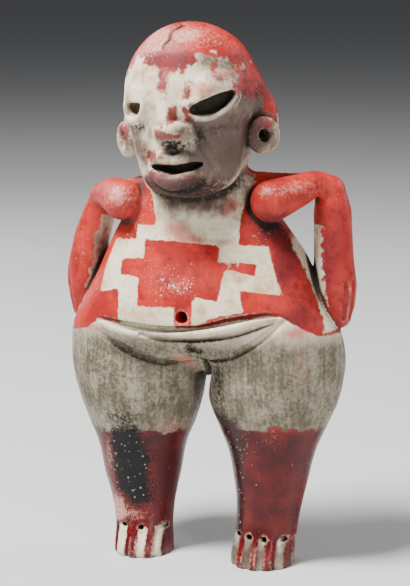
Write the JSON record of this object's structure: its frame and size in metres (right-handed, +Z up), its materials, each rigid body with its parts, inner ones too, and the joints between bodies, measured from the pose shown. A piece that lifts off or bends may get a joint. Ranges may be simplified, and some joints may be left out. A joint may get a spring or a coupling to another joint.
{
  "type": "standing female figurine",
  "caption": "Standing female figure of painted, burnished clay, hands on its hips, red with a pale stepped cross on the chest.",
  "frame": {"origin": "on the floor, under the middle of the figure's outermost width and depth", "axes": "+Z up from the soles to the crown, the face looks along -Y, the figure's own left is +X"},
  "size_m": [0.1862, 0.107, 0.33],
  "materials": {
    "slip_painted_clay": "burnished red slip over clay with cream painted areas, worn and fire-clouded"
  },
  "bodies": {
    "root": {"figurine": "slip_painted_clay"}
  },
  "joints": []
}
